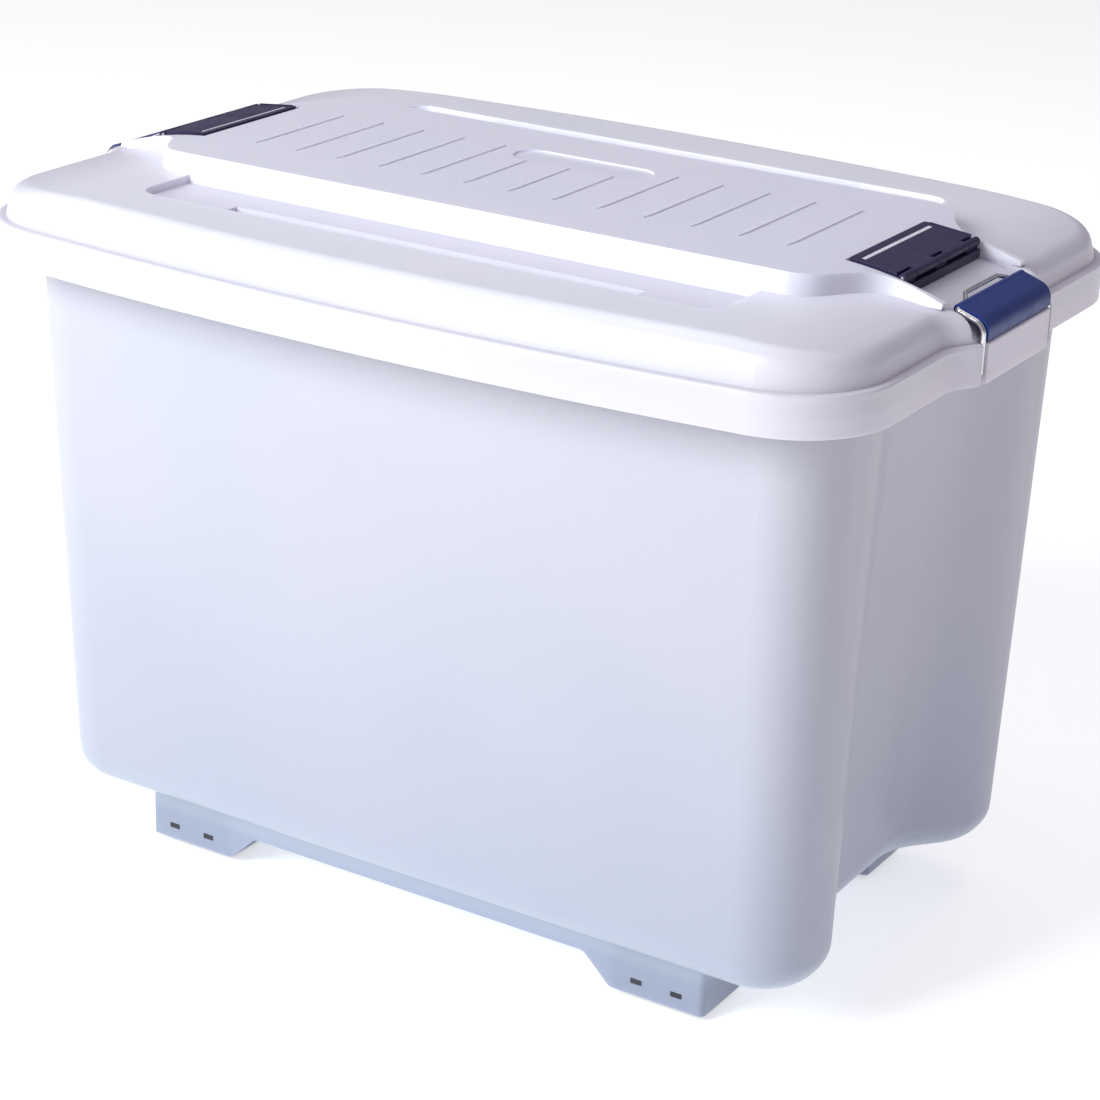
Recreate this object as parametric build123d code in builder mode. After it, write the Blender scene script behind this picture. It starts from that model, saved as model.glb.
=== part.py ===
from build123d import *
import os

# A deep clip-lid storage trunk on four hidden wheels. All sizes are in millimetres.
# X runs along the trunk, Y across it and Z up. The origin is under the middle of the
# trunk, on the floor that the wheels stand on.

# ---- driving dimensions: overall ----
LID_HALF_LENGTH = 382.0       # lower band of the skirt, at the corners
LID_HALF_WIDTH = 243.0
RIM_Z = 530.0                 # top face of the tub's rim flange
WHEEL_DIAMETER = 40.0
CLIP_HALF_WIDTH = 57.0        # centreline of each leg of the clip wires
WIRE_DIAMETER = 4.0

# ---- tub ----
TUB_HALF_LENGTH = LID_HALF_LENGTH - 36.0     # outside, at the floor of the tub
TUB_HALF_WIDTH = LID_HALF_WIDTH - 47.0
TUB_FLARE_LENGTH = 8.0        # how much further out each end stands at the rim
TUB_FLARE_WIDTH = 16.0
TUB_BOW = 14.0                # outward bow of each long side at the rim
TUB_CORNER_RADIUS = 50.0
TUB_BOTTOM_Z = WHEEL_DIAMETER + 8.0          # underside of the tub floor
TUB_BOTTOM_RADIUS = 26.0
TUB_WALL = 3.0
RIM_THICKNESS = 3.0
RIM_LIP_DEPTH = 14.0

END_RECESS_FLOOR = 43.0       # how far the end wall is set back at the tub floor
END_RECESS_RIM = 16.0         # and at the rim
END_POST_Y = TUB_HALF_WIDTH - 53.0           # the recess starts this far from the middle
END_RECESS_FLAT_Y = TUB_HALF_WIDTH - 146.0   # and is at full depth inside this

# ---- wheel pods and wheels ----
POD_CENTRE_X = TUB_HALF_LENGTH - 123.0
POD_LENGTH = 82.0
POD_FACE_Y = TUB_HALF_WIDTH - 25.0           # outer face of the pods and aprons
POD_WIDTH = 64.0
POD_BOTTOM_Z = 5.0
POD_WALL = 2.5
POD_CORNER_RADIUS = 5.0
APRON_Z = TUB_BOTTOM_Z - 19.5                # lower edge of the apron between the pods
APRON_THICKNESS = 3.0
APRON_FLARE = 24.0            # the apron's ends slope down to the pods over this length
APRON_BLEND = 17.0
WINDOW_SPACING = 35.0
WINDOW_WIDTH = 10.0
WINDOW_HEIGHT = 4.5
WINDOW_Z = 17.0

WHEEL_WIDTH = 38.0
TREAD_RADIUS = 4.0
HUB_DIAMETER = 16.0
TYRE_THICKNESS = 5.0
WEB_WIDTH = 10.0
AXLE_DIAMETER = 6.0
AXLE_RUNNING_FIT = 0.05
CARRIER_WALL = 3.0
CARRIER_GAP = 0.3             # play round the carrier in its pod
HUB_GAP = 0.5                 # between the hub and the carrier's cheeks

# ---- lid: plan ----
LID_BOW = 25.0
LID_CORNER_RADIUS = 78.0
LID_WALL = 3.0
SKIRT_GAP = 1.2               # between the rim and the inside of the skirt
SKIRT_STEP = 6.0              # the upper band is set in by this
SKIRT_LEAN = 8.0              # and leans in by this up to the shoulders, except at the bosses
BOSS_DEPTH = 14.0             # the skirt stands out by this at each clip
BOSS_HALF_WIDTH = CLIP_HALF_WIDTH + 15.0
BOSS_BLEND = 40.0
BOSS_PAD = 13.0               # solid thickness behind the boss face

# ---- lid: heights ----
SKIRT_Z = RIM_Z - 27.0        # lower edge of the skirt
SEAT_GAP = 0.3                # between the rim and the ledge that rests on it
GROOVE_FLOOR_Z = RIM_Z + 26.0
SHOULDER_Z = RIM_Z + 32.0
PLATEAU_Z = RIM_Z + 47.0
SHOULDER_RADIUS = 15.0
END_DROP = 9.0                # the shoulders fall by this at the ends
DROP_START_X = LID_HALF_LENGTH - 132.0

# ---- lid: raised middle, with its ribs and oval ----
PLATEAU_HALF_WIDTH = LID_HALF_WIDTH - 123.0
PLATEAU_END_X = LID_HALF_LENGTH - 120.0
PLATEAU_SIDE_SLOPE = 8.0      # how far each side leans out over its height
TONGUE_SIDE_X = LID_HALF_LENGTH - 47.0       # it has narrowed to the valley by here
RIB_COUNT = 13
RIB_PITCH = (LID_HALF_LENGTH - 144.0) / 6.0
RIB_NEAR_Y = -61.0
RIB_FAR_Y = 59.0
RIB_WIDTH = 2.6
RIB_HEIGHT = 1.2
OVAL_CENTRE_Y = 49.0
OVAL_LENGTH = 124.0
OVAL_WIDTH = 34.0
OVAL_DEPTH = 1.5

# ---- lid: grooves along both sides ----
GROOVE_HALF_LENGTH = LID_HALF_LENGTH - 125.0
GROOVE_OUTER_Y = LID_HALF_WIDTH - 55.0
GROOVE_SIDE_SLOPE = 6.0
GROOVE_CORNER_RADIUS = 16.0
SLOT_HALF_LENGTH = LID_HALF_LENGTH - 204.0   # the narrow deeper channel in the middle
SLOT_INNER_Y = LID_HALF_WIDTH - 81.0
SLOT_DEPTH = 8.0

# ---- hasp flaps ----
FLAP_INNER_X = LID_HALF_LENGTH - 94.0
FLAP_HALF_WIDTH = CLIP_HALF_WIDTH + 5.5
FLAP_THICKNESS = 3.5
FLAP_INNER_RISE = 4.5         # its inner edge is this much higher than its hinge
FLAP_CORNER_RADIUS = 3.0
FLAP_SLOT_LENGTH = 2 * FLAP_HALF_WIDTH - 13.0
FLAP_SLOT_WIDTH = 4.0
FLAP_SLOT_X = FLAP_INNER_X + 8.0
FLAP_BEAD_WIDTH = 1.6
FLAP_BEAD_HEIGHT = 0.6
HINGE_X = LID_HALF_LENGTH - 52.0
HINGE_Z = RIM_Z + 39.5
HINGE_PIN_DIAMETER = 3.0
HINGE_BARREL_DIAMETER = 7.0
HINGE_RUNNING_FIT = 0.05
HINGE_GAP = 0.5               # between the knuckles, and round them
HINGE_SEAT_Z = RIM_Z + 28.0
HINGE_BASE_TOP_Z = RIM_Z + 34.5
HINGE_BASE_WIDTH = 8.0
HINGE_KNUCKLE_START = 9.0     # each flap knuckle runs from here
HINGE_KNUCKLE_END = 43.0      # to here, on both sides of the middle

# ---- valley that runs from under each flap down to its clip ----
TONGUE_START_X = LID_HALF_LENGTH - 96.0
TONGUE_START_Z = RIM_Z + 42.0
TONGUE_MIDDLE_X = LID_HALF_LENGTH - 62.0
TONGUE_MIDDLE_Z = RIM_Z + 30.0
TONGUE_LIP_X = LID_HALF_LENGTH - 16.0
TONGUE_LIP_Z = RIM_Z + 19.5
TONGUE_FOOT_Z = RIM_Z - 2.0   # where its rounded lip reaches the boss face
TONGUE_HALF_WIDTH = FLAP_HALF_WIDTH + 2.0

# ---- clips ----
CLIP_PIVOT_Z = RIM_Z - 19.0
CLIP_SHOULDER_Z = RIM_Z + 16.0               # where the legs bend inboard
CLIP_BAR_X = LID_HALF_LENGTH - 11.0
CLIP_BAR_Z = RIM_Z + 23.5
CLIP_SHOULDER_RADIUS = 10.0
WIRE_BEND_RADIUS = 3.0
CLIP_CLEARANCE = 0.5          # between the wire and the lid
PIVOT_LENGTH = 11.0           # from the leg's centreline to the end of its turned-in pin
PIVOT_RUNNING_FIT = 0.05
WIRE_SLOT_WIDTH = WIRE_DIAMETER + 2.0
GRIP_THICKNESS = 5.0
GRIP_Z = RIM_Z + 5.0          # lower edge of the grip
GRIP_ROLL_WALL = 1.5          # round the wire's bar
GRIP_GAP = 0.3                # between the grip's ends and the legs
LOOP_DIAMETER = 3.5
LOOP_FOOT_Y = CLIP_HALF_WIDTH - 15.0
LOOP_BAR_Y = CLIP_HALF_WIDTH - 30.0
LOOP_RISE = 4.0
LOOP_REACH = 7.5
LOOP_BEND_RADIUS = 4.0

# ---- worked out from them ----
LEDGE_Z = RIM_Z + SEAT_GAP
STEP_Z = LEDGE_Z + LID_WALL
BOSS_X = LID_HALF_LENGTH + BOSS_DEPTH
BOSS_UPPER_X = BOSS_X - SKIRT_STEP
CLIP_X = BOSS_UPPER_X + CLIP_CLEARANCE + WIRE_DIAMETER / 2
WHEEL_Y = POD_FACE_Y - POD_WIDTH / 2
WHEEL_Z = WHEEL_DIAMETER / 2
CHEEK_Y = POD_WIDTH / 2 - POD_WALL - CARRIER_GAP
CUT_MARGIN = 10.0             # how far a cut runs past what it cuts
ENDS = (("left", -1), ("right", 1))
PODS = (("front_left", -1, -1), ("front_right", 1, -1), ("rear_left", -1, 1), ("rear_right", 1, 1))


def end_line(side, half_length, corner_y, offset, flat_y, post_y):
    """One end of a plan, from front to back, moved by offset over its middle."""
    post_x = side * half_length
    middle_x = side * (half_length + offset)
    Line((post_x, -corner_y), (post_x, -post_y))
    Spline((post_x, -post_y), (middle_x, -flat_y), tangents=((0, 1), (0, 1)))
    Line((middle_x, -flat_y), (middle_x, flat_y))
    Spline((middle_x, flat_y), (post_x, post_y), tangents=((0, 1), (0, 1)))
    Line((post_x, post_y), (post_x, corner_y))


def plan(z, half_length, half_width, bow, radius, offset, flat_y, post_y):
    """A rounded plan with bowed long sides and ends that step in or out over their middle."""
    with BuildSketch(Plane.XY.offset(z)) as outline:
        with BuildLine():
            for side in (-1, 1):
                end_line(side, half_length, half_width, offset, flat_y, post_y)
                ThreePointArc(
                    (-half_length, side * half_width),
                    (0, side * (half_width + bow)),
                    (half_length, side * half_width),
                )
        make_face()
        corners = outline.vertices().filter_by(lambda v: abs(abs(v.Y) - half_width) < 1e-4)
        fillet(corners, radius)
    return outline.sketch


def tub_plan(z, share, inset):
    """The tub's plan at height z, where share runs from 0 at its floor to 1 at its rim."""
    recess = END_RECESS_FLOOR + share * (END_RECESS_RIM - END_RECESS_FLOOR)
    return plan(
        z,
        TUB_HALF_LENGTH + share * TUB_FLARE_LENGTH - inset,
        TUB_HALF_WIDTH + share * TUB_FLARE_WIDTH - inset,
        0.01 + share * TUB_BOW,
        TUB_CORNER_RADIUS - inset,
        -recess,
        END_RECESS_FLAT_Y + inset / 2,
        END_POST_Y + inset / 2,
    )


def lid_plan(z, inset, boss):
    """The lid's plan, moved in by inset, with the clip bosses standing out by boss."""
    return plan(
        z,
        LID_HALF_LENGTH - inset,
        LID_HALF_WIDTH - inset,
        LID_BOW,
        LID_CORNER_RADIUS - inset,
        boss,
        BOSS_HALF_WIDTH - BOSS_BLEND / 2,
        BOSS_HALF_WIDTH + BOSS_BLEND / 2,
    )


def tub_form(inset, bottom_z, top_z, bottom_radius):
    """The tub as a solid, or with an inset the space inside it."""
    lower = tub_plan(bottom_z, 0, inset)
    upper = tub_plan(top_z, 1, inset)
    with BuildPart() as form:
        add(lower)
        add(upper)
        loft()
        floor = form.faces().sort_by(Axis.Z)[0]
        fillet(floor.edges(), bottom_radius)
    return form.part


def rim_plan(z, inset):
    """The plan of the tub's rim flange, which fits inside the lid's skirt."""
    return lid_plan(z, LID_WALL + SKIRT_GAP + inset, 0.01)


def pod_panel():
    """The front face of one long side's foot: an apron that slopes down to a pod at each end."""
    inner_x = POD_CENTRE_X - POD_LENGTH / 2
    outer_x = POD_CENTRE_X + POD_LENGTH / 2 - POD_CORNER_RADIUS
    apron_x = inner_x - APRON_FLARE
    top_z = TUB_BOTTOM_Z + TUB_WALL / 2
    with BuildSketch(Plane.XZ) as panel:
        with BuildLine():
            Polyline(
                (-outer_x, top_z), (-outer_x, POD_BOTTOM_Z), (-inner_x, POD_BOTTOM_Z),
                (-apron_x, APRON_Z), (apron_x, APRON_Z), (inner_x, POD_BOTTOM_Z),
                (outer_x, POD_BOTTOM_Z), (outer_x, top_z), close=True,
            )
        make_face()
        at_apron = panel.vertices().filter_by(lambda v: abs(v.Z - APRON_Z) < 0.01)
        fillet(at_apron, APRON_BLEND)
        at_pods = panel.vertices().filter_by(
            lambda v: v.Z < POD_BOTTOM_Z + 0.01 and abs(v.X) < inner_x + 1
        )
        fillet(at_pods, APRON_BLEND / 2)
    return panel.sketch


def make_tub():
    """Walls, floor and rim flange, with four open-bottomed pods joined by an apron on each side."""
    lip_z = RIM_Z - RIM_LIP_DEPTH
    pod_top_z = TUB_BOTTOM_Z + TUB_WALL / 2
    with BuildPart() as tub:
        add(tub_form(0, TUB_BOTTOM_Z, RIM_Z, TUB_BOTTOM_RADIUS))
        add(rim_plan(RIM_Z - RIM_THICKNESS, 0))
        extrude(amount=RIM_THICKNESS)
        with BuildSketch(Plane.XY.offset(lip_z)):
            add(rim_plan(0, 0))
            add(rim_plan(0, RIM_THICKNESS), mode=Mode.SUBTRACT)
        extrude(amount=RIM_LIP_DEPTH - RIM_THICKNESS)
        for side in (-1, 1):
            add(Pos(0, side * (POD_FACE_Y - APRON_THICKNESS / 2), 0) * extrude(
                pod_panel(), APRON_THICKNESS / 2, both=True, mode=Mode.PRIVATE))
        for _, end, side in PODS:
            with BuildSketch(Plane.XY.offset(POD_BOTTOM_Z)):
                with Locations((end * POD_CENTRE_X, side * WHEEL_Y)):
                    RectangleRounded(POD_LENGTH, POD_WIDTH, POD_CORNER_RADIUS)
            extrude(amount=pod_top_z - POD_BOTTOM_Z)
        for _, end, side in PODS:
            with BuildSketch(Plane.XY.offset(POD_BOTTOM_Z)):
                with Locations((end * POD_CENTRE_X, side * WHEEL_Y)):
                    RectangleRounded(
                        POD_LENGTH - 2 * POD_WALL,
                        POD_WIDTH - 2 * POD_WALL,
                        POD_CORNER_RADIUS - POD_WALL,
                    )
            extrude(amount=TUB_BOTTOM_Z - POD_BOTTOM_Z, mode=Mode.SUBTRACT)
            with Locations((end * POD_CENTRE_X, side * (POD_FACE_Y - POD_WALL), WINDOW_Z)):
                with GridLocations(WINDOW_SPACING, 0, 2, 1):
                    Box(WINDOW_WIDTH, 3 * POD_WALL, WINDOW_HEIGHT, mode=Mode.SUBTRACT)
        add(
            tub_form(
                TUB_WALL, TUB_BOTTOM_Z + TUB_WALL, RIM_Z + 1, TUB_BOTTOM_RADIUS - TUB_WALL
            ),
            mode=Mode.SUBTRACT,
        )
    return tub.part


def above_curve(level, start_x, far_x, far_z):
    """What lies above a line that is level in the middle and curves down towards each end."""
    half_depth = LID_HALF_WIDTH + 2 * LID_BOW
    ceiling = level + 4 * CUT_MARGIN
    with BuildPart() as above:
        with BuildSketch(Plane.XZ.offset(-half_depth)):
            with BuildLine():
                Line((-start_x, level), (start_x, level))
                TangentArc((start_x, level), (far_x, far_z), tangent=(1, 0))
                TangentArc((-start_x, level), (-far_x, far_z), tangent=(-1, 0))
                Polyline((far_x, far_z), (far_x, ceiling), (-far_x, ceiling), (-far_x, far_z))
            make_face()
        extrude(amount=2 * half_depth)
    return above.part


def above_shoulders(inset):
    """What lies above the shoulders, which fall by the end drop where the lid ends."""
    level = SHOULDER_Z - inset
    far_x = LID_HALF_LENGTH + BOSS_DEPTH
    share = (far_x - DROP_START_X) / (LID_HALF_LENGTH - DROP_START_X)
    return above_curve(level, DROP_START_X, far_x, level - END_DROP * share ** 2)


def plateau_plan(z, grow):
    """The raised middle seen from above: straight sides that draw in towards each hasp."""
    wide = PLATEAU_HALF_WIDTH + grow
    narrow = TONGUE_HALF_WIDTH + grow
    with BuildSketch(Plane.XY.offset(z)) as outline:
        with BuildLine():
            for side in (-1, 1):
                Line((-PLATEAU_END_X, side * wide), (PLATEAU_END_X, side * wide))
                for end in (-1, 1):
                    Spline(
                        (end * PLATEAU_END_X, side * wide),
                        (end * TONGUE_SIDE_X, side * narrow),
                        tangents=((end, 0), (end, 0)),
                    )
                    Line((end * TONGUE_SIDE_X, side * narrow), (end * TONGUE_LIP_X, side * narrow))
            for end in (-1, 1):
                Line((end * TONGUE_LIP_X, -narrow), (end * TONGUE_LIP_X, narrow))
        make_face()
    return outline.sketch


def above_plateau(inset):
    """What lies above the raised middle, which comes down to the groove floor past each hasp."""
    return above_curve(
        PLATEAU_Z - inset, PLATEAU_END_X, TONGUE_LIP_X + CUT_MARGIN, GROOVE_FLOOR_Z - inset
    )


def tongue_cut(end, inset):
    """The valley at one end: its floor drops under the flap, runs out and rounds over the boss."""
    start_x = end * (TONGUE_START_X - inset)
    foot_x = end * (BOSS_UPPER_X - inset)
    out_x = end * (BOSS_X + CUT_MARGIN)
    half_width = TONGUE_HALF_WIDTH + inset
    with BuildPart() as cut:
        with BuildSketch(Plane.XZ):
            with BuildLine():
                Line((start_x, PLATEAU_Z + CUT_MARGIN), (start_x, TONGUE_START_Z - inset))
                Spline(
                    (start_x, TONGUE_START_Z - inset),
                    (end * TONGUE_MIDDLE_X, TONGUE_MIDDLE_Z - inset),
                    (end * TONGUE_LIP_X, TONGUE_LIP_Z - inset),
                    (foot_x, TONGUE_FOOT_Z),
                    tangents=((end, -0.45), (0, -1)),
                )
                Polyline(
                    (foot_x, TONGUE_FOOT_Z), (out_x, TONGUE_FOOT_Z),
                    (out_x, PLATEAU_Z + CUT_MARGIN), (start_x, PLATEAU_Z + CUT_MARGIN),
                )
            make_face()
        extrude(amount=half_width, both=True)
    return cut.part


def groove_cut(side, inset):
    """One long shallow groove, and the deeper channel in the middle of it."""
    def block(floor_z, half_length, inner_y, outer_y, inner_slope, radius):
        top_z = PLATEAU_Z + 4
        with BuildPart() as cut:
            for z, lean in ((floor_z, 0), (top_z, 1)):
                inner = inner_y - lean * inner_slope - inset
                outer = outer_y + lean * GROOVE_SIDE_SLOPE + inset
                length = half_length + lean * GROOVE_SIDE_SLOPE + inset
                with BuildSketch(Plane.XY.offset(z - inset)) as outline:
                    with Locations((0, side * (inner + outer) / 2)):
                        Rectangle(2 * length, outer - inner)
                    outer_corners = outline.vertices().filter_by(
                        lambda v: abs(abs(v.Y) - outer) < 0.01
                    )
                    fillet(outer_corners, radius)
            loft()
        return cut.part

    floor_inner_y = PLATEAU_HALF_WIDTH + PLATEAU_SIDE_SLOPE
    groove = block(
        GROOVE_FLOOR_Z, GROOVE_HALF_LENGTH - GROOVE_SIDE_SLOPE, floor_inner_y, GROOVE_OUTER_Y,
        PLATEAU_SIDE_SLOPE, GROOVE_CORNER_RADIUS,
    )
    slot = block(
        GROOVE_FLOOR_Z - SLOT_DEPTH, SLOT_HALF_LENGTH, SLOT_INNER_Y, GROOVE_OUTER_Y - 1,
        GROOVE_SIDE_SLOPE, GROOVE_CORNER_RADIUS / 2,
    )
    return groove, slot


def lid_form(inset, bottom_z, boss):
    """The lid above its step as a solid, or with an inset the space inside it."""
    lower = lid_plan(bottom_z, SKIRT_STEP + inset, boss)
    upper = lid_plan(SHOULDER_Z, SKIRT_STEP + SKIRT_LEAN + inset, boss + SKIRT_LEAN)
    with BuildPart() as form:
        add(lower)
        add(upper)
        loft()
        add(above_shoulders(inset), mode=Mode.SUBTRACT)
        tops = form.faces().filter_by(lambda f: f.normal_at().Z > 0.9)
        around = tops.edges().filter_by(lambda e: abs(abs(e.center().X) - DROP_START_X) > 1)
        fillet(around, SHOULDER_RADIUS - inset)
        with BuildPart(mode=Mode.PRIVATE) as plateau:
            add(plateau_plan(GROOVE_FLOOR_Z - inset, PLATEAU_SIDE_SLOPE - inset))
            add(plateau_plan(PLATEAU_Z - inset + 0.01, -inset))
            loft()
            add(above_plateau(inset), mode=Mode.SUBTRACT)
        add(plateau.part)
        for _, end in ENDS:
            add(tongue_cut(end, inset), mode=Mode.SUBTRACT)
        for side in (-1, 1):
            groove, slot = groove_cut(side, inset)
            add(groove, mode=Mode.SUBTRACT)
            add(slot, mode=Mode.SUBTRACT)
    return form.part


def make_lid():
    """The moulded lid: a hollow shell with a stepped skirt, ribs, grooves and two clip bosses."""
    inner_boss = BOSS_DEPTH - BOSS_PAD + LID_WALL
    slot_back_x = CLIP_X - WIRE_DIAMETER / 2 - CLIP_CLEARANCE
    oval_near_y = OVAL_CENTRE_Y - OVAL_WIDTH / 2 - 5
    with BuildPart() as lid:
        add(lid_plan(SKIRT_Z, 0, BOSS_DEPTH))
        extrude(amount=STEP_Z - SKIRT_Z)
        step = lid.faces().sort_by(Axis.Z)[-1]
        fillet(step.edges(), SKIRT_STEP / 3)
        add(lid_form(0, STEP_Z - 0.01, BOSS_DEPTH))

        # the space under it: the rim sits in the lower band, against the ledge
        add(lid_form(LID_WALL, LEDGE_Z - 0.01, inner_boss), mode=Mode.SUBTRACT)
        with BuildSketch(Plane.XY.offset(SKIRT_Z - 1)):
            add(lid_plan(0, LID_WALL, inner_boss))
        extrude(amount=LEDGE_Z - SKIRT_Z + 1, mode=Mode.SUBTRACT)

        for index in range(RIB_COUNT):
            x = (index - (RIB_COUNT - 1) / 2) * RIB_PITCH
            far_y = oval_near_y if abs(x) < OVAL_LENGTH / 2 else RIB_FAR_Y
            with BuildSketch(Plane.XY.offset(PLATEAU_Z)):
                with BuildLine():
                    Polyline(
                        (x, RIB_NEAR_Y), (x + RIB_WIDTH / 2, RIB_NEAR_Y + 4 * RIB_WIDTH),
                        (x + RIB_WIDTH / 4, far_y), (x - RIB_WIDTH / 4, far_y),
                        (x - RIB_WIDTH / 2, RIB_NEAR_Y + 4 * RIB_WIDTH), close=True,
                    )
                make_face()
            extrude(amount=RIB_HEIGHT)
        with BuildSketch(Plane.XY.offset(PLATEAU_Z)):
            with Locations((0, OVAL_CENTRE_Y)):
                SlotOverall(OVAL_LENGTH, OVAL_WIDTH)
        extrude(amount=-OVAL_DEPTH, mode=Mode.SUBTRACT)

        for _, end in ENDS:
            with BuildSketch(Plane.XY.offset(HINGE_SEAT_Z)):
                with Locations((end * HINGE_X, 0)):
                    Rectangle(HINGE_BASE_WIDTH, 2 * FLAP_HALF_WIDTH)
            extrude(amount=PLATEAU_Z - HINGE_SEAT_Z, mode=Mode.SUBTRACT)
            slot_depth = BOSS_X + CUT_MARGIN - slot_back_x
            slot_x = end * (slot_back_x + slot_depth / 2)
            for side in (-1, 1):
                with BuildSketch(Plane.XY.offset(SKIRT_Z - 1)):
                    with Locations((slot_x, side * CLIP_HALF_WIDTH)):
                        Rectangle(slot_depth, WIRE_SLOT_WIDTH)
                extrude(amount=STEP_Z - SKIRT_Z + 2, mode=Mode.SUBTRACT)
                with Locations((end * CLIP_X, side * CLIP_HALF_WIDTH, CLIP_PIVOT_Z)):
                    with Locations(Rotation(90 * side, 0, 0)):
                        Cylinder(
                            WIRE_DIAMETER / 2 + PIVOT_RUNNING_FIT, PIVOT_LENGTH + 1,
                            align=(Align.CENTER, Align.CENTER, Align.MIN), mode=Mode.SUBTRACT,
                        )
    return lid.part


def make_clip_wire(end):
    """One bent steel wire: a pin turned in at each foot, two legs, and the bar under the grip."""
    foot_x = end * CLIP_X
    bar_x = end * CLIP_BAR_X
    pin_y = CLIP_HALF_WIDTH - PIVOT_LENGTH
    half_side = [
        (foot_x, pin_y, CLIP_PIVOT_Z),
        (foot_x, CLIP_HALF_WIDTH, CLIP_PIVOT_Z),
        (foot_x, CLIP_HALF_WIDTH, CLIP_SHOULDER_Z),
        (bar_x, CLIP_HALF_WIDTH, CLIP_BAR_Z),
    ]
    other_side = [(x, -y, z) for x, y, z in reversed(half_side)]
    bends = [WIRE_BEND_RADIUS, CLIP_SHOULDER_RADIUS, WIRE_BEND_RADIUS]
    with BuildPart() as wire:
        with BuildLine() as path:
            FilletPolyline(*half_side, *other_side, radius=bends + bends[::-1])
        with BuildSketch(Plane(origin=path.line @ 0, z_dir=path.line % 0)):
            Circle(WIRE_DIAMETER / 2)
        sweep()
    return wire.part


def make_clip_loop(end, wire):
    """The wire staple that stands up from the bar, for the hasp to drop over."""
    bar_x = end * (CLIP_BAR_X - LOOP_REACH)
    bar_z = CLIP_BAR_Z + LOOP_RISE
    with BuildPart() as loop:
        with BuildLine() as path:
            FilletPolyline(
                (end * CLIP_BAR_X, -LOOP_FOOT_Y, CLIP_BAR_Z),
                (bar_x, -LOOP_BAR_Y, bar_z),
                (bar_x, LOOP_BAR_Y, bar_z),
                (end * CLIP_BAR_X, LOOP_FOOT_Y, CLIP_BAR_Z),
                radius=LOOP_BEND_RADIUS,
            )
        with BuildSketch(Plane(origin=path.line @ 0, z_dir=path.line % 0)):
            Circle(LOOP_DIAMETER / 2)
        sweep()
        add(wire, mode=Mode.SUBTRACT)
    return loop.part


def make_clip_grip(end, wire, loop):
    """The moulded pull: rolled round the bar, over the shoulder and down between the legs."""
    leg_x = end * (CLIP_X + (GRIP_THICKNESS - WIRE_DIAMETER) / 2)
    with BuildPart() as grip:
        with BuildSketch(Plane.XZ):
            with BuildLine() as middle:
                FilletPolyline(
                    (end * CLIP_BAR_X, CLIP_BAR_Z + GRIP_ROLL_WALL / 2),
                    (leg_x, CLIP_SHOULDER_Z + GRIP_ROLL_WALL / 2),
                    (leg_x, GRIP_Z),
                    radius=CLIP_SHOULDER_RADIUS,
                )
            trace(middle.line, GRIP_THICKNESS)
            with Locations((end * CLIP_BAR_X, CLIP_BAR_Z)):
                Circle(WIRE_DIAMETER / 2 + GRIP_ROLL_WALL)
        extrude(amount=CLIP_HALF_WIDTH - WIRE_DIAMETER / 2 - GRIP_GAP, both=True)
        add(wire, mode=Mode.SUBTRACT)
        add(loop, mode=Mode.SUBTRACT)
    return grip.part


def make_hasp_flap(end):
    """A slotted plate with two knuckles, which lies under the hand and folds out over the loop."""
    top_z = HINGE_Z + HINGE_BARREL_DIAMETER / 2
    plate_end_x = HINGE_X - HINGE_BARREL_DIAMETER / 2 - HINGE_GAP
    slope = FLAP_INNER_RISE / (HINGE_X - FLAP_INNER_X)
    inner_top_z = top_z + FLAP_INNER_RISE
    bore = HINGE_PIN_DIAMETER / 2 + HINGE_RUNNING_FIT

    def strip(low, high, from_x, to_x):
        """A slice of the plate, between two heights measured from its sloping top."""
        from_z = top_z + slope * (HINGE_X - from_x)
        to_z = top_z + slope * (HINGE_X - to_x)
        Polygon(
            (end * from_x, from_z + low), (end * to_x, to_z + low),
            (end * to_x, to_z + high), (end * from_x, from_z + high), align=None,
        )

    with BuildPart() as flap:
        with BuildSketch(Plane.XZ):
            strip(-FLAP_THICKNESS, 0, FLAP_INNER_X, plate_end_x)
        extrude(amount=FLAP_HALF_WIDTH, both=True)
        corners = flap.edges().filter_by(
            lambda e: e.length < 2 * FLAP_THICKNESS and abs(e.center().X) < FLAP_INNER_X + 1
        )
        fillet(corners, FLAP_CORNER_RADIUS)
        for side in (-1, 1):
            bead_y = FLAP_HALF_WIDTH - FLAP_BEAD_WIDTH
            bead_start_x = FLAP_INNER_X + 1.5 * FLAP_CORNER_RADIUS
            with BuildSketch(Plane.XZ.offset(side * bead_y)):
                strip(-FLAP_BEAD_HEIGHT, FLAP_BEAD_HEIGHT, bead_start_x, plate_end_x)
            extrude(amount=side * FLAP_BEAD_WIDTH)
            with BuildSketch(Plane.XZ.offset(side * HINGE_KNUCKLE_START)):
                strip(-FLAP_THICKNESS, 0, plate_end_x - 1, HINGE_X)
                with Locations((end * HINGE_X, HINGE_Z)):
                    Circle(HINGE_BARREL_DIAMETER / 2)
            extrude(amount=side * (HINGE_KNUCKLE_END - HINGE_KNUCKLE_START))
        with BuildSketch(Plane.XZ):
            with Locations((end * HINGE_X, HINGE_Z)):
                Circle(bore)
        extrude(amount=FLAP_HALF_WIDTH, both=True, mode=Mode.SUBTRACT)
        with Locations((end * FLAP_SLOT_X, 0, inner_top_z)):
            Box(FLAP_SLOT_WIDTH, FLAP_SLOT_LENGTH, 4 * FLAP_THICKNESS, mode=Mode.SUBTRACT)
    return flap.part


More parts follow.
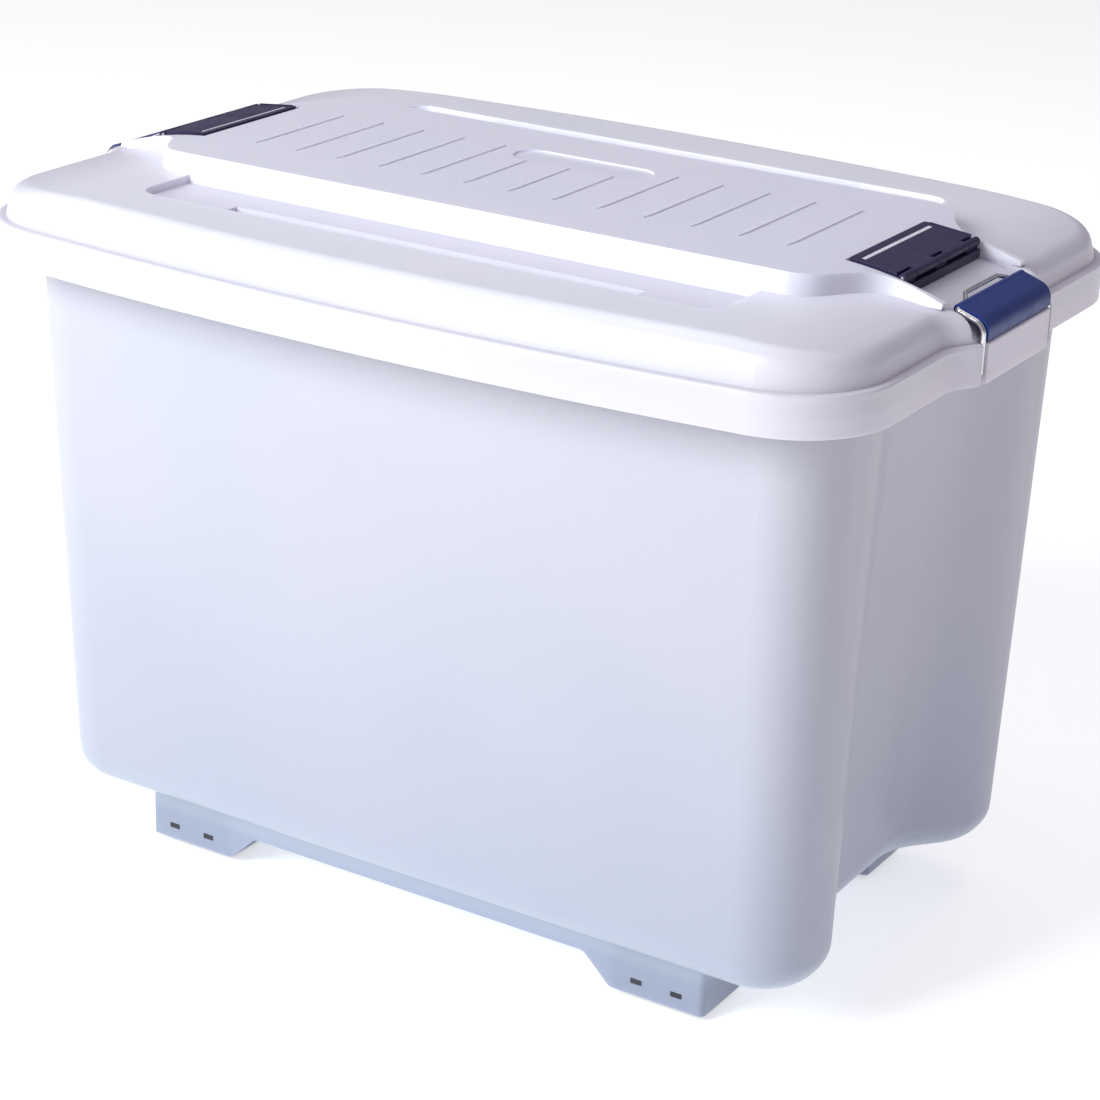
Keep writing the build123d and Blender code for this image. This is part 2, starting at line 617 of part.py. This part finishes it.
def make_hinge_base(end):
    """The strip let into the lid, with three knuckles that hold the pin."""
    web_inner_x = HINGE_X - HINGE_BARREL_DIAMETER / 2
    web_outer_x = HINGE_X + HINGE_BARREL_DIAMETER / 4
    outer_start = HINGE_KNUCKLE_END + HINGE_GAP
    middle_end = HINGE_KNUCKLE_START - HINGE_GAP
    spans = (
        (-FLAP_HALF_WIDTH, -outer_start),
        (-middle_end, middle_end),
        (outer_start, FLAP_HALF_WIDTH),
    )
    with BuildPart() as base:
        with BuildSketch(Plane.XY.offset(HINGE_SEAT_Z)):
            with Locations((end * HINGE_X, 0)):
                Rectangle(HINGE_BASE_WIDTH, 2 * FLAP_HALF_WIDTH)
        extrude(amount=HINGE_BASE_TOP_Z - HINGE_SEAT_Z)
        for start_y, end_y in spans:
            with BuildSketch(Plane.XZ.offset(-start_y)):
                with Locations((end * (web_inner_x + web_outer_x) / 2, HINGE_Z)):
                    Rectangle(
                        web_outer_x - web_inner_x, HINGE_Z - HINGE_SEAT_Z - 1,
                        align=(Align.CENTER, Align.MAX),
                    )
                with Locations((end * HINGE_X, HINGE_Z)):
                    Circle(HINGE_BARREL_DIAMETER / 2)
            extrude(amount=-(end_y - start_y))
        with BuildSketch(Plane.XZ):
            with Locations((end * HINGE_X, HINGE_Z)):
                Circle(HINGE_PIN_DIAMETER / 2)
        extrude(amount=FLAP_HALF_WIDTH, both=True, mode=Mode.SUBTRACT)
    return base.part


def make_hinge_pin(end):
    """A straight steel pin through all the knuckles."""
    with BuildPart() as pin:
        with BuildSketch(Plane.XZ):
            with Locations((end * HINGE_X, HINGE_Z)):
                Circle(HINGE_PIN_DIAMETER / 2)
        extrude(amount=FLAP_HALF_WIDTH, both=True)
        fillet(pin.edges(), HINGE_PIN_DIAMETER / 8)
    return pin.part


def make_wheel(x, y):
    """A moulded wheel with a rounded tyre, a thinner web and a hub that runs on the axle."""
    hub_half_width = CHEEK_Y - CARRIER_WALL - HUB_GAP
    bore = AXLE_DIAMETER / 2 + AXLE_RUNNING_FIT
    tyre_inner = WHEEL_DIAMETER / 2 - TYRE_THICKNESS
    web_outer = tyre_inner + TYRE_THICKNESS / 2
    with BuildPart() as wheel:
        with BuildSketch(Plane((x, y, WHEEL_Z))) as section:
            with Locations(((bore + HUB_DIAMETER / 2) / 2, 0)):
                Rectangle(HUB_DIAMETER / 2 - bore, 2 * hub_half_width)
            with Locations(((bore + web_outer) / 2, 0)):
                Rectangle(web_outer - bore, WEB_WIDTH)
            with Locations(((tyre_inner + WHEEL_DIAMETER / 2) / 2, 0)):
                Rectangle(TYRE_THICKNESS, WHEEL_WIDTH)
            tread = section.vertices().group_by(Axis.X)[-1]
            fillet(tread, TREAD_RADIUS)
        revolve(axis=Axis((x, y, WHEEL_Z), (0, 1, 0)))
    return wheel.part


def make_wheel_axle(x, y):
    """A plain steel axle, held in the carrier's cheeks."""
    with BuildPart() as axle:
        with BuildSketch(Plane.XZ.offset(-y)):
            with Locations((x, WHEEL_Z)):
                Circle(AXLE_DIAMETER / 2)
        extrude(amount=CHEEK_Y, both=True)
    return axle.part


def make_wheel_carrier(x, y, side):
    """A channel that snaps up into its pod, held by two barbs that show in the pod's windows."""
    low_z = POD_BOTTOM_Z + 1
    length = POD_LENGTH - 2 * (POD_WALL + CARRIER_GAP)
    barb_reach = POD_WIDTH / 2 - CHEEK_Y - CARRIER_GAP
    with BuildPart() as carrier:
        with BuildSketch(Plane.XY.offset(low_z)):
            with Locations((x, y)):
                RectangleRounded(length, 2 * CHEEK_Y, POD_CORNER_RADIUS - POD_WALL - CARRIER_GAP)
        extrude(amount=TUB_BOTTOM_Z - low_z)
        with Locations((x, y, low_z)):
            Box(
                2 * length, 2 * (CHEEK_Y - CARRIER_WALL), TUB_BOTTOM_Z - CARRIER_WALL - low_z,
                align=(Align.CENTER, Align.CENTER, Align.MIN), mode=Mode.SUBTRACT,
            )
        with Locations((x, y + side * (CHEEK_Y + barb_reach / 2), WINDOW_Z)):
            with GridLocations(WINDOW_SPACING, 0, 2, 1):
                Box(
                    WINDOW_WIDTH - 2 * CARRIER_GAP, barb_reach + 1,
                    WINDOW_HEIGHT - 2 * CARRIER_GAP,
                )
        with BuildSketch(Plane.XZ.offset(-y)):
            with Locations((x, WHEEL_Z)):
                Circle(AXLE_DIAMETER / 2)
        extrude(amount=CHEEK_Y + 1, both=True, mode=Mode.SUBTRACT)
    return carrier.part


def save(part, name):
    """Labels a finished piece and writes its STEP file."""
    part.label = name
    export_step(part, f"parts/{name}.step")


os.makedirs("parts", exist_ok=True)
save(make_tub(), "tub")
save(make_lid(), "lid")
for pod, end, side in PODS:
    x = end * POD_CENTRE_X
    y = side * WHEEL_Y
    save(make_wheel_carrier(x, y, side), f"{pod}_wheel_carrier")
    save(make_wheel(x, y), f"{pod}_wheel")
    save(make_wheel_axle(x, y), f"{pod}_wheel_axle")
for name, end in ENDS:
    wire = make_clip_wire(end)
    loop = make_clip_loop(end, wire)
    save(make_clip_grip(end, wire, loop), f"{name}_clip_grip")
    save(loop, f"{name}_clip_loop")
    save(wire, f"{name}_clip_wire")
    save(make_hasp_flap(end), f"{name}_hasp_flap")
    save(make_hinge_base(end), f"{name}_hinge_base")
    save(make_hinge_pin(end), f"{name}_hinge_pin")
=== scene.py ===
import math

import bmesh
import bpy
from mathutils import Matrix, Vector


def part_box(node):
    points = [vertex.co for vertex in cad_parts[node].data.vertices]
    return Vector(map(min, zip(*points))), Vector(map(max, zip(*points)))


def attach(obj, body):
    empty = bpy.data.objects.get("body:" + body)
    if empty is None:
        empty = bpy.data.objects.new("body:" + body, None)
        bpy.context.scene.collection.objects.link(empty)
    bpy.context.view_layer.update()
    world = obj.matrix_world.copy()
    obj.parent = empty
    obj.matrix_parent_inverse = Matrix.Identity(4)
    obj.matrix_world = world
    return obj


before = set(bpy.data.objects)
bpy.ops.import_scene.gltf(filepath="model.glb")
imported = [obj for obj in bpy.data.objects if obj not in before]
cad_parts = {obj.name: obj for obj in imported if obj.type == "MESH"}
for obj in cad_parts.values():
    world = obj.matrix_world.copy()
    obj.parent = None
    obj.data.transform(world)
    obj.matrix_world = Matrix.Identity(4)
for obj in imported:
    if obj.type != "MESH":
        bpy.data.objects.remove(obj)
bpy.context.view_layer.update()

# ---- camera ----
AIM = Vector((-0.0384, 0.0825, 0.2316))
AZIMUTH = 31.3                # degrees round from the front towards the right end
ELEVATION = 21.6
ROLL = 2.0
DISTANCE = 2.468
LENS = 95.9                   # millimetres
SENSOR_WIDTH = 36.0
CLIP_END = 200.0

# ---- lights and floor ----
LIT_POINT = (0, 0, 0.3)       # both lights face this
KEY_PLACE = (-1.45, -3.1, 2.36)
KEY_SIZE = 2.0
KEY_POWER = 170
KEY_COLOUR = (0.93, 1.0, 0.97)
OVERHEAD_PLACE = (0, 0.5, 2.9)
OVERHEAD_SIZE = 2.4
OVERHEAD_POWER = 18
OVERHEAD_COLOUR = (0.97, 0.95, 1.0)
SURROUND_COLOUR = (0.97, 0.91, 1, 1)
SURROUND_STRENGTH = 0.27
FLOOR_REACH = 80.0
FLOOR_COLOUR = (0.93, 0.93, 0.93, 1)
FLOOR_ROUGHNESS = 0.9
FLOOR_GLOW = 0.55

# ---- finishes ----
# (position, colour) up the tub and up the lid. Each ramp mixes the part's own colour with painted
# light. The tub is painted darker towards the bottom as painted shade, darkest over the wheel
# pods.
TUB_COLOUR_AND_PAINTED_SHADE_STOPS = [
    (0.0, (0.27, 0.30, 0.41)), (0.06, (0.28, 0.31, 0.42)), (0.085, (0.38, 0.43, 0.53)),
    (0.16, (0.41, 0.42, 0.53)), (1.0, (0.51, 0.495, 0.58)),
]
TUB_SPAN = (0.0, 0.5)         # the heights where its stops begin and end
TUB_ROUGHNESS = 0.36
# The lid's own lilac with painted light: the top is painted lighter, and the skirt is painted
# darker and pinker as painted shade.
LID_COLOUR_AND_PAINTED_LIGHT_STOPS = [
    (0.0, (0.62, 0.57, 0.66)), (0.45, (0.66, 0.62, 0.72)), (0.80, (0.72, 0.68, 0.80)),
    (0.87, (0.86, 0.83, 0.95)), (1.0, (0.84, 0.81, 0.96)),
]
LID_SPAN = (0.50, 0.57)
LID_ROUGHNESS = 0.34
CLOUD_TINT = (0.88, 0.93, 0.95)
CLOUD_MOST = 0.6              # the largest share of the tint
MILKY_GLOW = 0.2

# name, darker colour, lighter colour, roughness, ends of its nodes' names
HARD_PLASTICS = (
    ("grip_plastic", (0.012, 0.032, 0.17), (0.017, 0.042, 0.21), 0.34, ("clip_grip",)),
    ("flap_plastic", (0.022, 0.017, 0.062), (0.032, 0.026, 0.082), 0.38, ("hasp_flap",)),
    ("hinge_plastic", (0.022, 0.018, 0.062), (0.030, 0.024, 0.075), 0.42, ("hinge_base",)),
    ("wheel_plastic", (0.02, 0.02, 0.022), (0.035, 0.035, 0.04), 0.55, ("_wheel",)),
    ("carrier_plastic", (0.03, 0.03, 0.04), (0.05, 0.05, 0.06), 0.5, ("wheel_carrier",)),
)
STEELS = (
    ("wire_steel", (0.62, 0.62, 0.64), (0.8, 0.8, 0.82), 0.22, ("clip_wire", "clip_loop")),
    ("pin_steel", (0.5, 0.5, 0.52), (0.62, 0.62, 0.64), 0.35, ("hinge_pin", "wheel_axle")),
)
STRIP_PLASTIC = ("strip_plastic", (0.72, 0.70, 0.80), (0.80, 0.78, 0.86), 0.4)

# ---- pale strips in the slots of the hasp flaps ----
SLOT_INSET = 0.008            # from a flap's inner edge to the middle of its slot
SLOT_MARGIN = 0.013           # the slot is this much shorter than the flap
SLOT_WIDTH = 0.004
FLAP_SLOPE = 0.107            # radians, down towards the hinge
STRIP_THICKNESS = 0.0015
STRIP_DEPTH = 0.0014          # its top is this far below the flap's highest point
STRIP_EDGE = 0.0004           # how far it runs into the slot's walls


def view_axes(azimuth, elevation):
    """Right, up and back of a level view from there."""
    a = math.radians(azimuth)
    e = math.radians(elevation)
    back = Vector((math.sin(a) * math.cos(e), -math.cos(a) * math.cos(e), math.sin(e)))
    right = Vector((math.cos(a), math.sin(a), 0))
    return right, back.cross(right), back


def add_camera():
    """The camera, very slightly rolled."""
    right, up, back = view_axes(AZIMUTH, ELEVATION)
    roll = math.radians(ROLL)
    x_axis = right * math.cos(roll) + up * math.sin(roll)
    y_axis = up * math.cos(roll) - right * math.sin(roll)
    data = bpy.data.cameras.new("camera")
    data.lens = LENS
    data.sensor_width = SENSOR_WIDTH
    data.clip_end = CLIP_END
    camera = bpy.data.objects.new("camera", data)
    matrix = Matrix((x_axis, y_axis, back)).transposed().to_4x4()
    matrix.translation = AIM + back * DISTANCE
    camera.matrix_world = matrix
    bpy.context.scene.collection.objects.link(camera)
    bpy.context.scene.camera = camera


def add_area(name, place, size, power, colour):
    """A square soft light at place, facing the middle of the object."""
    data = bpy.data.lights.new(name, "AREA")
    data.size = size
    data.energy = power
    data.color = colour
    light = bpy.data.objects.new(name, data)
    light.location = place
    direction = Vector(LIT_POINT) - Vector(place)
    light.rotation_euler = direction.to_track_quat("-Z", "Y").to_euler()
    bpy.context.scene.collection.objects.link(light)


def add_lights():
    """One large soft key from the front left, a weak one overhead, and an even lilac surround."""
    add_area("key", KEY_PLACE, KEY_SIZE, KEY_POWER, KEY_COLOUR)
    add_area("overhead", OVERHEAD_PLACE, OVERHEAD_SIZE, OVERHEAD_POWER, OVERHEAD_COLOUR)
    world = bpy.data.worlds.new("studio")
    world.use_nodes = True
    background = world.node_tree.nodes["Background"]
    background.inputs["Color"].default_value = SURROUND_COLOUR
    background.inputs["Strength"].default_value = SURROUND_STRENGTH
    bpy.context.scene.world = world
    bpy.context.scene.view_settings.view_transform = "Standard"


def add_floor():
    """A plain pale floor, much larger than the view."""
    mesh = bpy.data.meshes.new("floor")
    reach = FLOOR_REACH
    mesh.from_pydata(
        [(-reach, -reach, 0), (reach, -reach, 0), (reach, reach, 0), (-reach, reach, 0)],
        [],
        [(0, 1, 2, 3)],
    )
    floor = bpy.data.objects.new("floor", mesh)
    bpy.context.scene.collection.objects.link(floor)
    material = bpy.data.materials.new("floor")
    material.use_nodes = True
    shader = material.node_tree.nodes["Principled BSDF"]
    shader.inputs["Base Color"].default_value = FLOOR_COLOUR
    shader.inputs["Roughness"].default_value = FLOOR_ROUGHNESS
    shader.inputs["Emission Color"].default_value = (1, 1, 1, 1)
    shader.inputs["Emission Strength"].default_value = FLOOR_GLOW
    mesh.materials.append(material)


class Nodes:
    """A material with its shader, and short ways to add the nodes that feed it."""

    def __init__(self, name):
        self.material = bpy.data.materials.new(name)
        self.material.use_nodes = True
        self.tree = self.material.node_tree
        self.shader = self.tree.nodes["Principled BSDF"]
        self.place = self.add("ShaderNodeTexCoord").outputs["Object"]

    def add(self, kind, **settings):
        node = self.tree.nodes.new(kind)
        for key, value in settings.items():
            setattr(node, key, value)
        return node

    def join(self, output, socket):
        self.tree.links.new(output, socket)

    def set(self, **values):
        """Sets the shader's own sockets, written with _ for each space."""
        for key, value in values.items():
            self.shader.inputs[key.replace("_", " ")].default_value = value

    def noise(self, scale, detail=3.0):
        """Noise in the object's own metres, scale cycles to the metre."""
        node = self.add("ShaderNodeTexNoise")
        node.inputs["Scale"].default_value = scale
        node.inputs["Detail"].default_value = detail
        self.join(self.place, node.inputs["Vector"])
        return node.outputs["Fac"]

    def height(self, low, high):
        """0 at the height low and 1 at high."""
        split = self.add("ShaderNodeSeparateXYZ")
        self.join(self.place, split.inputs["Vector"])
        return self.remap(split.outputs["Z"], low, high, 0, 1)

    def remap(self, value, low, high, to_low, to_high):
        node = self.add("ShaderNodeMapRange")
        node.inputs["From Min"].default_value = low
        node.inputs["From Max"].default_value = high
        node.inputs["To Min"].default_value = to_low
        node.inputs["To Max"].default_value = to_high
        self.join(value, node.inputs["Value"])
        return node.outputs["Result"]

    def ramp(self, value, stops):
        """A colour ramp with (position, colour) stops."""
        node = self.add("ShaderNodeValToRGB")
        elements = node.color_ramp.elements
        while len(elements) < len(stops):
            elements.new(0.5)
        for element, (position, colour) in zip(elements, stops):
            element.position = position
            element.color = (*colour, 1)
        self.join(value, node.inputs["Fac"])
        return node.outputs["Color"]

    def mix(self, first, second, share, blend="MIX"):
        """Mixes two colours, each an output or a plain colour, by an output share."""
        node = self.add("ShaderNodeMix", data_type="RGBA", blend_type=blend)
        sockets = [s for s in node.inputs if s.type == "RGBA"]
        for value, socket in zip((first, second), sockets):
            if isinstance(value, tuple):
                socket.default_value = (*value, 1)
            else:
                self.join(value, socket)
        factor = [s for s in node.inputs if s.type == "VALUE"][0]
        self.join(share, factor)
        return [s for s in node.outputs if s.type == "RGBA"][0]

    def colour(self, output):
        self.join(output, self.shader.inputs["Base Color"])

    def mottle(self, scale, start, dark, light):
        """The colour wanders between dark and light; more of it is dark as start rises."""
        self.colour(self.mix(dark, light, self.remap(self.noise(scale), start, 0.7, 0.0, 1.0)))

    def wear(self, scale, smooth, rough):
        """The roughness wanders between smooth and rough."""
        value = self.remap(self.noise(scale), 0.3, 0.7, smooth, rough)
        self.join(value, self.shader.inputs["Roughness"])

    def grain(self, scale, strength, depth):
        """A fine bump, depth metres deep at most."""
        node = self.add("ShaderNodeBump")
        node.inputs["Strength"].default_value = strength
        node.inputs["Distance"].default_value = depth
        self.join(self.noise(scale, 2.0), node.inputs["Height"])
        self.join(node.outputs["Normal"], self.shader.inputs["Normal"])


def milky_plastic(name, stops, span, roughness):
    """Translucent moulded plastic: graded by height, with painted light and shade laid over its
    own colour, cloudy, with a faint moulded grain.
    """
    m = Nodes(name)
    cloud = m.remap(m.noise(4.0, 2.0), 0.35, 0.75, 0.0, CLOUD_MOST)
    # the height ramp paints shade low down and light up high
    m.colour(m.mix(m.ramp(m.height(*span), stops), CLOUD_TINT, cloud, "MULTIPLY"))
    m.wear(30.0, roughness - 0.015, roughness + 0.02)
    m.set(Subsurface_Weight=MILKY_GLOW, Subsurface_Scale=0.03, Subsurface_Radius=(1.0, 0.9, 1.0))
    m.set(IOR=1.46)
    m.grain(420.0, 0.06, 0.0004)
    return m.material


def hard_plastic(name, dark, light, roughness):
    """Opaque moulded plastic with slight colour variation, a fine grain and a weak gloss."""
    m = Nodes(name)
    m.mottle(28.0, 0.35, dark, light)
    m.wear(60.0, roughness - 0.05, roughness + 0.07)
    m.set(Specular_IOR_Level=0.28)
    m.grain(700.0, 0.12, 0.0003)
    return m.material


def drawn_steel(name, dark, light, roughness):
    """Bright wire with fine drawing marks and patches of wear."""
    m = Nodes(name)
    m.mottle(90.0, 0.3, dark, light)
    m.wear(260.0, roughness - 0.06, roughness + 0.08)
    m.set(Metallic=1.0)
    m.grain(900.0, 0.1, 0.0002)
    return m.material


def paint(material, endings):
    """Gives the CAD nodes whose names end in one of these this material."""
    for name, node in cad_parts.items():
        if not name.endswith(endings):
            continue
        if not node.data.materials:
            node.data.materials.append(material)
        for index in range(len(node.data.materials)):
            node.data.materials[index] = material


def dress():
    """A material for every CAD node."""
    paint(milky_plastic("tub_plastic", TUB_COLOUR_AND_PAINTED_SHADE_STOPS, TUB_SPAN, TUB_ROUGHNESS), ("tub",))
    paint(milky_plastic("lid_plastic", LID_COLOUR_AND_PAINTED_LIGHT_STOPS, LID_SPAN, LID_ROUGHNESS), ("lid",))
    for name, dark, light, roughness, endings in HARD_PLASTICS:
        paint(hard_plastic(name, dark, light, roughness), endings)
    for name, dark, light, roughness, endings in STEELS:
        paint(drawn_steel(name, dark, light, roughness), endings)


def strip_mesh(name, size):
    """A bar with rounded edges, centred on the origin."""
    mesh = bpy.data.meshes.new(name)
    form = bmesh.new()
    bmesh.ops.create_cube(form, size=1.0)
    bmesh.ops.scale(form, vec=size, verts=form.verts)
    bmesh.ops.bevel(form, geom=form.edges[:], offset=STRIP_EDGE, segments=3, affect="EDGES")
    form.to_mesh(mesh)
    form.free()
    return mesh


def add_slot_strip(side, material):
    """The pale strip that closes a flap's slot and moves with the flap."""
    low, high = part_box(f"{side}_hasp_flap")
    outward = 1 if high.x > 0 else -1
    inner_x = min(abs(low.x), abs(high.x))
    length = high.y - low.y - SLOT_MARGIN
    size = (SLOT_WIDTH + 2 * STRIP_EDGE, length + 2 * STRIP_EDGE, STRIP_THICKNESS)
    name = f"{side}_slot_strip"
    strip = bpy.data.objects.new(name, strip_mesh(name, size))
    strip.data.materials.append(material)
    middle_z = high.z - STRIP_DEPTH - STRIP_THICKNESS / 2
    strip.location = (outward * (inner_x + SLOT_INSET), 0, middle_z)
    strip.rotation_euler = (0, outward * FLAP_SLOPE, 0)
    bpy.context.scene.collection.objects.link(strip)
    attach(strip, f"{side}_hasp")


def add_slot_strips():
    pale = hard_plastic(*STRIP_PLASTIC)
    for side in ("left", "right"):
        add_slot_strip(side, pale)


add_camera()
add_lights()
add_floor()
dress()
add_slot_strips()
